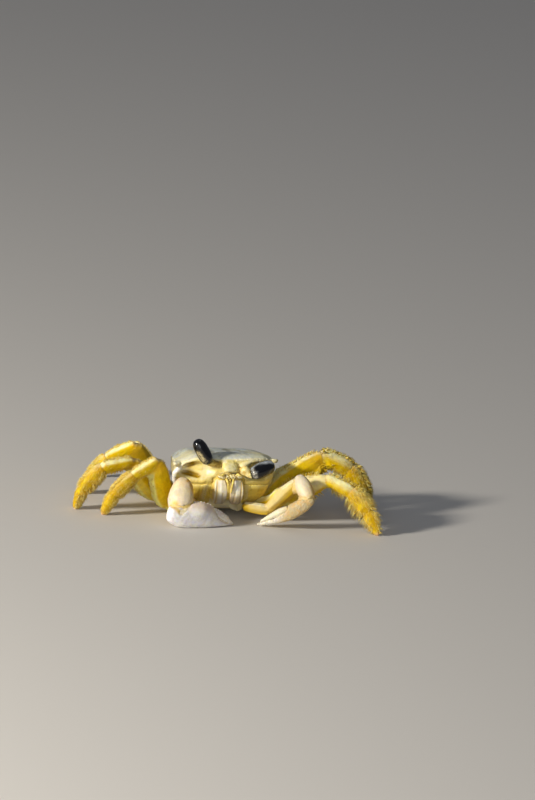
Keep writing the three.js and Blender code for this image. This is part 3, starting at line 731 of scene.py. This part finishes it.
wrist = cast_shell(
    "claw_right_carpus_shell", "claw_right_carpus", grain=0.2, rounds=30, swell=0.12, rounding=70,
)
places, normals = surface(wrist)
grains(wrist, normals[:, 1] < 0.4, spacing=0.8, reach=0.42, height=0.035, seed=11)
colours = layered(
    plain(places, 228, 210, 176),
    # Orange towards the inner side: partly warm shell, partly painted shade.
    ((232, 190, 118), 0.8 * rise(places[:, 0] + 0.3 * places[:, 2], -18.6, -14.6)),
    ((244, 210, 150), 0.6 * mound(from_spot(places, (-22.0, -30.6, 15.6), (4, 4, 3)), 1)),
    ((216, 162, 58), 1.3 * mound(from_line(places, (-20.2, -30.1, 16.2), (-18.8, -32.0, 12.6)), 1.9)),
    ((226, 186, 84), mound(from_line(places, (-26.2, -36.2, 9.4), (-24.4, -37.6, 7.0)), 2.0)),
    ((242, 230, 204), 0.3 * rise(cloud(places, 2.2), 0.5, 0.75)),
)
finish(wrist, colours, claw_finish)

palm = cast_shell("claw_right_hand_shell", "claw_right_hand", grain=0.2, rounds=30, swell=0.1, rounding=50)
places = surface(palm)[0]
hump = mound(from_spot(places, (-15.5, -35.5, 7.2), (6.0, 4.5, 4.0)), 1)
crease = mound(from_line(places, (-20.6, -36.2, 9.2), (-23.4, -37.5, 6.4)), 1.5)
raise_surface(palm, 0.9 * hump - 0.4 * crease)
places, normals = surface(palm)
raised = grains(palm, places[:, 2] > 0.4, spacing=0.85, reach=0.45, height=0.045, seed=12)
crest = [(-19.5, -34.1, 9.3), (-16, -33.2, 9.4), (-12, -32.2, 8.4), (-9.4, -31.5, 7.0)]
raised += studs(palm, crest, count=9, reach=0.62, height=0.4)
grains(palm, (normals[:, 2] > 0.3) & (places[:, 0] > -9), spacing=1.3, reach=0.6, height=0.25, seed=13)
colours = layered(
    plain(places, 240, 237, 235),
    # Darker and warmer towards the upper right: painted shade.
    ((214, 186, 158), rise(normals[:, 2] + normals[:, 0] * 0.5, 0.0, 0.9) * 0.75),
    ((206, 186, 166), 0.2 * rise(cloud(places, 1.4), 0.55, 0.8)),
    ((248, 244, 236), np.clip(raised, 0, 1) * 0.5),
    ((222, 186, 96), mound(from_line(places, (-27.0, -36.1, 8.4), (-24.0, -38.0, 6.4)), 1.3)),
)
finish(palm, colours, claw_finish)

finger = cast_shell("claw_right_finger_shell", "claw_right_finger", grain=0.16, rounds=25, swell=0.08)
places, normals = surface(finger)
grains(finger, np.ones(len(places), bool), spacing=0.8, reach=0.42, height=0.06, seed=14)
crest = [(-11, -31.5, 6.6), (-8.8, -30.9, 6.3), (-6.6, -30.4, 5.3), (-4.0, -29.8, 3.2)]
studs(finger, crest, count=9, reach=0.62, height=0.45)
grains(finger, normals[:, 2] < -0.5, spacing=1.1, reach=0.5, height=0.22, seed=15)
colours = layered(
    plain(places, 240, 232, 218),
    ((222, 200, 176), 0.5 * rise(cloud(places, 1.2), 0.5, 0.75)),
)
finish(finger, colours, claw_finish)
soft_skin(
    "claw_right_skin", ["claw_right_carpus", "claw_right_hand"], (232, 200, 128), reach=1.2,
)
soft_skin(
    "claw_right_hinge", ["claw_right_hand", "claw_right_finger"], (232, 216, 188),
    reach=0.5, sink=0.06, grain=0.3,
)

arm = cast_shell("claw_left_merus_shell", "claw_left_merus", grain=0.2, rounds=22, swell=0.08)
places, normals = surface(arm)
edges = (normals[:, 2] > 0.5) | (normals[:, 2] < -0.6)
grains(arm, edges, spacing=0.8, reach=0.45, height=0.12, seed=16)
colours = plain(places, 216, 178, 34)
ridge = from_line(places, (8, -19.6, 5.5), (13.7, -23.2, 6.6), (17.2, -24.9, 14.6), (21, -24.1, 18))
colours = layered(
    colours,
    ((216, 194, 128), 1.2 * mound(ridge, 3.2)),
    ((232, 220, 172), rise(normals[:, 2], 0.3, 0.8)),
    ((196, 154, 22),
     0.9 * mound(from_line(places, (13, -23.6, 4.4), (18.6, -25.0, 9.6), (22, -24.8, 12.6)), 1.8)),
    # Darker underneath: painted shade.
    ((160, 126, 22), rise(-normals[:, 2], 0.5, 0.9) * 0.6),
)
finish(arm, colours, claw_finish)

wrist = cast_shell(
    "claw_left_carpus_shell", "claw_left_carpus", grain=0.18, rounds=12, swell=0.12, rounding=50,
)
places, normals = surface(wrist)
grains(wrist, normals[:, 1] < 0.5, spacing=0.75, reach=0.4, height=0.07, seed=17)
colours = layered(
    plain(places, 220, 194, 136),
    # Paler on the upper side that faces the key: partly pale shell, partly a painted highlight.
    ((226, 214, 188), rise(normals[:, 2] - normals[:, 0], 0.2, 1.0) * 0.8),
    ((222, 170, 84), 0.8 * mound(from_line(places, (26.6, -29.6, 18), (27.4, -32.2, 13)), 1.6)),
)
finish(wrist, colours, claw_finish)

palm = cast_shell("claw_left_hand_shell", "claw_left_hand", grain=0.17, rounds=12, swell=0.1, rounding=30)
places, normals = surface(palm)
grains(palm, np.ones(len(places), bool), spacing=0.85, reach=0.45, height=0.12, seed=18)
grains(palm, (normals[:, 2] > 0.2) & (places[:, 0] < 17), spacing=1.0, reach=0.5, height=0.26, seed=19)
colours = layered(
    plain(places, 198, 178, 134),
    ((214, 172, 104), 0.6 * rise(cloud(places, 1.8), 0.45, 0.7)),
    ((232, 188, 124), 0.8 * mound(from_line(places, (26.4, -30.6, 13), (24, -29.6, 9)), 2.4)),
    ((228, 220, 200), rise(-places[:, 0], -19, -13)),
)
finish(palm, colours, claw_finish)

finger = cast_shell("claw_left_finger_shell", "claw_left_finger", grain=0.15, rounds=20, swell=0.08)
places, normals = surface(finger)
grains(finger, normals[:, 2] < -0.4, spacing=1.0, reach=0.45, height=0.18, seed=20)
grains(finger, normals[:, 2] > 0, spacing=0.9, reach=0.4, height=0.08, seed=21)
root = rise(places[:, 0], 15, 19)
finish(finger, cover(plain(places, 228, 218, 190), (210, 182, 122), root * 0.7), claw_finish)
soft_skin(
    "claw_left_skin", ["claw_left_merus", "claw_left_carpus", "claw_left_hand"], (220, 190, 124),
    reach=1.3, sink=0.06,
)

# ---------------------------------------------------------------- walking legs
# Eight flattened legs, each a long thigh, a bent knee piece, a shin and a pointed toe. The shell is
# golden, paler along its upper edge, partly pale shell and partly a painted highlight, and more orange
# at the joints, where the pieces nearly touch.
leg_finish = shell_finish(
    "leg_shell", roughness=0.44, mottle=0.16, bead=0.5, bead_depth=0.05, glow=0.16, gloss=0.12,
)
leg_parts = ("merus", "carpus", "propodus", "dactylus")
# How pale the upper edge of each piece is, partly pale shell and partly a painted highlight, and the
# slopes between which it turns pale.
pale_and_highlit_tops = {"merus": 0.75, "carpus": 1.0, "propodus": 0.8, "dactylus": 0.2}
upper_steps = {
    "merus": (0.45, 1.25), "carpus": (-0.1, 1.0), "propodus": (0.3, 1.2), "dactylus": (0.6, 1.3),
}


def limb_plates(nodes, fillet):
    """The plates of one limb, cut from a single smooth skin so that they meet in fine seams. Its
    hollows are filled by swelling the skin by the fillet and shrinking it again."""
    grain, swell, seam_width, seam_depth = 0.27, 0.1, 0.45, 0.04
    limb = cast("limb", nodes, grain, rounds=2, rounding=12)
    raise_surface(limb, fillet)
    round_off(limb, 26)
    remake(limb, grain)
    raise_surface(limb, swell - fillet)
    ease(limb, 30)

    # Each spot belongs to its nearest node, and the skin dips where two nodes are equally near.
    places, normals = surface(limb)
    gaps = []
    for node in nodes:
        solid = bmesh.new()
        solid.from_mesh(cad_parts[node].data)
        tree = BVHTree.FromBMesh(solid)
        gaps.append([tree.find_nearest(Vector(place) * MM)[3] / MM for place in places])
        solid.free()
    owners = np.argmin(gaps, axis=0)
    least, second = np.sort(gaps, axis=0)[:2]
    seam = mound(second - least, seam_width)
    move(limb, places - normals * seam_depth * seam[:, None])

    plates = []
    for turn, node in enumerate(nodes):
        shape = bmesh.new()
        shape.from_mesh(limb.data)
        spots = list(shape.verts)
        others = [face for face in shape.faces if owners[face.verts[0].index] != turn]
        bmesh.ops.delete(shape, geom=others, context="FACES")
        kept = [spot.is_valid for spot in spots]
        mesh = bpy.data.meshes.new(node + "_shell")
        shape.to_mesh(mesh)
        shape.free()
        mesh.shade_smooth()
        plate = placed(node + "_shell", mesh)
        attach(plate, "root")
        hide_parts(node)
        plates.append((plate, seam[kept]))
    bpy.data.objects.remove(limb)
    return plates


leg_shells = {}
for side in ("right", "left"):
    for number in (1, 2, 3, 4):
        before = body_middle
        fillet = 4.5 if (side, number) == ("left", 2) else 2.2
        plates = limb_plates([f"leg_{side}_{number}_{part}" for part in leg_parts], fillet)
        for part, (shell, seam) in zip(leg_parts, plates):
            places, normals = surface(shell)
            share, direction, breadth = lengthwise(places, before)
            before = places.mean(0)

            # Shins and toes are a little full, and the left second leg is wider round its knee.
            if part in ("propodus", "dactylus"):
                raise_surface(shell, 0.25 * mound(share - (part == "propodus"), 1.1) * (1 - seam))
            if (side, number) == ("left", 2):
                if part in ("carpus", "propodus"):
                    raise_surface(shell, 0.5 * np.abs(normals @ breadth) * (1 - seam))
                if part in ("merus", "carpus"):
                    bend = rise(share if part == "merus" else 1 - share, 0.4, 0.85)
                    raise_surface(shell, 1.9 * bend * rise(-normals @ breadth, 0.0, 0.8))

            patch = cloud(places, 2.2)
            streak = cloud(places - np.outer(places @ direction, direction) * 0.75, 1.1)
            if part in ("merus", "carpus"):
                edges = np.abs(normals[:, 2]) > 0.75
                grains(shell, edges, spacing=0.8, reach=0.42, height=0.07, seed=30 + number)
            lower_leg = {"merus": 0, "carpus": rise(share, 0.3, 1.0)}.get(part, 1)
            upper = rise(normals[:, 2] + 0.5 * (normals @ breadth) + 0.15 * streak, *upper_steps[part])
            fading = 1 - 0.8 * rise(share, 0.0, 0.7) if part == "propodus" else 1
            knee = mound(1 - share, 0.3) if part == "merus" else mound(share, 0.25)
            colours = layered(
                plain(places, 230, 192, 6),
                ((208, 166, 2), lower_leg),
                ((196, 150, 2), rise(streak, 0.5, 0.75) * 0.3),
                ((232, 206, 40), rise(patch, 0.5, 0.8) * 0.4),
                # Pale upper edges: partly pale shell, partly a painted highlight.
                ((238, 232, 176), upper * fading * pale_and_highlit_tops[part] * (0.7 + 0.5 * patch)),
                ((232, 210, 110), rise(-normals[:, 2], 0.45, 0.9) * 0.4),
                ((226, 156, 60), 0.35 * knee * (part != "dactylus")),
                ((206, 150, 40), 0.25 * seam),
            )

            # Some thighs have a pale facet, partly pale shell and partly a painted highlight on the lit
            # face. The right third thigh is darkened with a painted shadow cast by the leg before it, and
            # the left legs' outer faces are darkened olive with painted shade.
            if (side, number, part) == ("left", 1, "merus"):
                pale_end = rise(share, 0.5, 0.7) * rise(normals[:, 2], -0.4, 0.3)
                colours = cover(colours, (242, 224, 160), pale_end)
            if part == "merus" and number in (1, 2):
                facet = rise(normals @ np.array((-0.48, -0.69, -0.54)), 0.72, 0.92)
                colours = cover(colours, (232, 226, 140), facet * (0.9 if side == "right" else 0.7))
            # Painted shadow cast by the leg before it.
            if (side, number, part) == ("right", 3, "merus"):
                colours = cover(colours, (128, 108, 14), 0.6)
            # Painted shade on the left legs' outer faces.
            if side == "left":
                outside = rise(normals[:, 0], -0.1, 0.8)
                colours = cover(colours, (122, 101, 10), outside * (0.25 if number == 1 else 0.65))
            if part == "dactylus":
                colours = cover(colours, (220, 176, 130), rise(share, 0.8, 0.98))
            finish(shell, colours, leg_finish)
            leg_shells[side, number, part] = (shell, share, direction, breadth)

# ---------------------------------------------------------------- bristles
# Stiff pale golden bristles grow out of the shell of the legs, mostly in fringes on the shins and
# toes, and a few shorter ones beside the mouth.
bristle_finish, tree, horn = new_material("bristle")
tint = tree.nodes.new("ShaderNodeAttribute")
tint.attribute_name = "tint"
streaks = tune(tree.nodes.new("ShaderNodeTexNoise"), {"Scale": 2500})
place = tree.nodes.new("ShaderNodeTexCoord")
tree.links.new(place.outputs["Object"], streaks.inputs["Vector"])
fade = tree.nodes.new("ShaderNodeMix")
fade.data_type = "RGBA"
fade.blend_type = "OVERLAY"
tune(fade, {"Factor": 0.35})
tree.links.new(tint.outputs["Color"], fade.inputs["A"])
tree.links.new(streaks.outputs["Fac"], fade.inputs["B"])
tree.links.new(fade.outputs["Result"], horn.inputs["Base Color"])
tune(horn, {
    "Roughness": 0.42, "Specular IOR Level": 0.25,
    "Subsurface Weight": 0.3, "Subsurface Radius": (1.0, 0.7, 0.35), "Subsurface Scale": 0.4 * MM,
})


def normalised(ways):
    """The same directions, each with length 1."""
    return ways / np.linalg.norm(ways, axis=1)[:, None]


def bristles(name, roots, ways, lengths, widths, colours, patches):
    """One mesh of three-sided tapered hairs, each bent a little towards the floor. The patches
    say where in the bake's square each hair lies."""
    droop, rooted, floor_clearance = 0.25, 0.12, 0.15
    count = len(roots)
    aside = normalised(np.cross(ways, (0.31, 0.52, 0.79)))
    athwart = np.cross(ways, aside)
    long = lengths[:, None]
    middles = roots + ways * long * 0.55
    tips = roots + ways * long + np.array((0, 0, -1.0)) * long * droop
    middles[:, 2] = np.maximum(middles[:, 2], floor_clearance)
    tips[:, 2] = np.maximum(tips[:, 2], floor_clearance)
    points = np.zeros((count, 7, 3))
    for corner in range(3):
        angle = corner * math.tau / 3
        out = (aside * math.cos(angle) + athwart * math.sin(angle)) * widths[:, None] / 2
        points[:, corner] = roots + out - ways * rooted
        points[:, corner + 3] = middles + out * 0.7
    points[:, 6] = tips
    sides = [(0, 1, 4, 3), (1, 2, 5, 4), (2, 0, 3, 5), (3, 4, 6), (4, 5, 6), (5, 3, 6)]
    faces = [[first + corner for corner in side] for first in range(0, count * 7, 7) for side in sides]
    mesh = bpy.data.meshes.new(name)
    mesh.from_pydata(points.reshape(-1, 3) * MM, [], faces)
    mesh.shade_smooth()
    piece = placed(name, mesh)
    spread = np.array([(0, -1), (0.87, -1), (-0.87, -1), (0, 0), (0.5, 0), (-0.5, 0), (0, 1)]) * 0.0015
    flat = (patches[:, None, :] + spread[None]).reshape(-1, 2)
    corners = np.zeros(len(mesh.loops), np.int32)
    mesh.loops.foreach_get("vertex_index", corners)
    unwrap = mesh.uv_layers.new(name="OFBake")
    unwrap.data.foreach_set("uv", flat[corners].astype(np.float32).ravel())
    shade = np.repeat(colours[:, None, :], 7, 1)
    shade[:, 3:6] = shade[:, 3:6] * 0.85 + pigment(246, 222, 140) * 0.15
    shade[:, 6] = shade[:, 6] * 0.6 + pigment(250, 234, 170) * 0.4
    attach(piece, "root")
    finish(piece, shade.reshape(-1, 3), bristle_finish)


# For each leg: the length of the fringes in millimetres, how many bristles they have on thigh,
# knee, shin and toe, and how many short ones lie along the rest.
coats = {
    ("right", 1): (1.2, (120, 200, 700, 420), (60, 260, 1500, 900)),
    ("right", 2): (1.4, (120, 260, 760, 420), (60, 300, 1600, 900)),
    ("right", 3): (1.2, (100, 180, 500, 300), (60, 160, 900, 500)),
    ("right", 4): (0.8, (40, 40, 160, 120), (40, 40, 220, 160)),
    ("left", 1): (3.5, (200, 200, 330, 190), (60, 200, 1200, 700)),
    ("left", 2): (2.5, (240, 280, 320, 160), (160, 500, 1200, 500)),
    ("left", 3): (1.3, (140, 160, 400, 240), (60, 160, 500, 300)),
    ("left", 4): (0.8, (40, 40, 160, 120), (40, 40, 220, 160)),
}
chance = np.random.default_rng(77)
for (side, number), (fringe, edge_counts, coat_counts) in coats.items():
    grown = []
    for turn, part in enumerate(leg_parts):
        shell, share, direction, breadth = leg_shells[side, number, part]
        places, normals = surface(shell)
        open_share = rise(1 - share, 0.02, 0.12)
        edge = rise(np.abs(normals @ breadth), 0.75, 0.97) * open_share
        if part == "merus":
            edge = edge * rise(share, 0.35, 0.6)
        # The fringe stands out from the edges, and the coat lies along the leg.
        for count, weight, lift, lie, length, spread, thickness in (
            (edge_counts[turn], edge, 1.0, 0.42, fringe, 0.2, 0.22),
            (coat_counts[turn], 0.3 + edge, 0.42, 1.0, 0.45 + 0.3 * fringe, 0.16, 0.13),
        ):
            weight = weight * open_share + 1e-6
            picked = chance.choice(len(places), count, p=weight / weight.sum())
            ways = normals[picked] * lift + direction * lie + chance.normal(0, spread, (count, 3))

            # Each piece of the leg has its own strip of the bake's square.
            around = np.cross(normals[picked], direction)
            angle = np.arctan2(around[:, 2], normals[picked] @ np.cross(direction, (0, 0, 1.0)))
            strip = 0.02 + 0.23 * turn
            patches = np.stack([
                strip + 0.2 * (angle / math.tau + 0.5), 0.03 + 0.94 * share[picked],
            ], 1)

            pale = chance.random((count, 1)) < (0.6 if side == "left" else 0.4)
            shades = np.where(pale, pigment(242, 220, 120), pigment(212, 166, 12))
            long = length * chance.uniform(0.45, 1.1, count)
            if part == "dactylus":
                long = long * (1 - 0.6 * share[picked])
            if part in ("merus", "carpus"):
                long = long * 0.65
            wide = thickness * chance.uniform(0.7, 1.3, count)
            grown.append((places[picked], normalised(ways), long, wide, shades, patches))
    bristles(f"leg_{side}_{number}_bristles", *(np.concatenate(kind) for kind in zip(*grown)))

count = 160
for side, sign in (("right", -1), ("left", 1)):
    cheek = bpy.data.objects[f"cheek_{side}_shell"]
    places, normals = surface(cheek)
    spots = on_body(places) * (-sign, 1, 1)
    weight = mound(from_line(spots, *cheek_rim), 1.2) + 1e-6
    picked = chance.choice(len(places), count, p=weight / weight.sum())
    lean = np.array((sign * -0.5, -0.3, -0.5)) + chance.normal(0, 0.15, (count, 3))
    low, high = spots.min(0), spots.max(0)
    patches = 0.05 + 0.9 * ((spots[picked] - low) / (high - low))[:, [1, 2]]
    bristles(
        f"cheek_{side}_bristles", places[picked], normalised(normals[picked] * 0.6 + lean),
        chance.uniform(0.5, 0.9, count), chance.uniform(0.07, 0.11, count),
        plain(picked, 232, 214, 150), patches,
    )

# ---------------------------------------------------------------- room, light and camera
# A plain pale table under a faintly blue sky and three softboxes, the strongest of them low on the
# crab's right, seen from the front through a long lens.
floor_shape = bmesh.new()
bmesh.ops.create_grid(floor_shape, x_segments=1, y_segments=1, size=6)
floor_mesh = bpy.data.meshes.new("floor")
floor_shape.to_mesh(floor_mesh)
floor_shape.free()
floor = placed("floor", floor_mesh)
paper, tree, matt = new_material("paper")
tune(matt, {"Base Color": (0.66, 0.625, 0.57, 1), "Roughness": 0.8})
floor_mesh.materials.append(paper)

world = bpy.data.worlds.new("studio")
bpy.context.scene.world = world
world.use_nodes = True
tune(world.node_tree.nodes["Background"], {"Color": (0.80, 0.86, 1.0, 1), "Strength": 0.15})


def softbox(name, direction, away, size, power, colour):
    """A round softbox that faces the crab, in metres and watts."""
    lamp = bpy.data.lights.new(name, "AREA")
    lamp.shape = "DISK"
    lamp.size = size
    lamp.energy = power
    lamp.color = colour
    holder = placed(name, lamp)
    towards = Vector(direction).normalized()
    holder.location = towards * away
    holder.rotation_euler = towards.to_track_quat("Z", "Y").to_euler()


softbox("key", (-0.84, -0.43, 0.34), 1.2, 0.14, 17.5, (1.0, 0.955, 0.88))
softbox("front", (-0.35, -1.0, 0.3), 1.5, 0.9, 3.6, (0.93, 0.96, 1.0))
softbox("top", (0.1, 0.2, 1.0), 1.2, 0.7, 0.5, (0.85, 0.92, 1.0))

# The view: 15 degrees round from the front, 15 above the floor, leaning 7.8 degrees.
turn, height, lean = (math.radians(angle) for angle in (15, 15, 7.8))
sight = Vector((math.sin(turn) * math.cos(height), math.cos(turn) * math.cos(height), -math.sin(height)))
level_right = Vector((math.cos(turn), -math.sin(turn), 0))
level_up = level_right.cross(sight)
right = level_right * math.cos(lean) + level_up * math.sin(lean)
up = level_up * math.cos(lean) - level_right * math.sin(lean)
# The camera aims to the right of the eyes and above them.
between_eyes = Vector((-4.985, -19.58, 22.8)) * MM
aim = between_eyes + right * 15.56 * MM + up * 21.85 * MM
lens = bpy.data.cameras.new("camera")
lens.lens = 300
lens.clip_start = 0.1
frame_height = 0.2963
camera = placed("camera", lens)
distance = frame_height * lens.lens / lens.sensor_width
facing = Matrix((right, up, -sight)).transposed()
camera.matrix_world = Matrix.Translation(aim - sight * distance) @ facing.to_4x4()
bpy.context.scene.camera = camera
bpy.context.scene.view_settings.view_transform = "Standard"
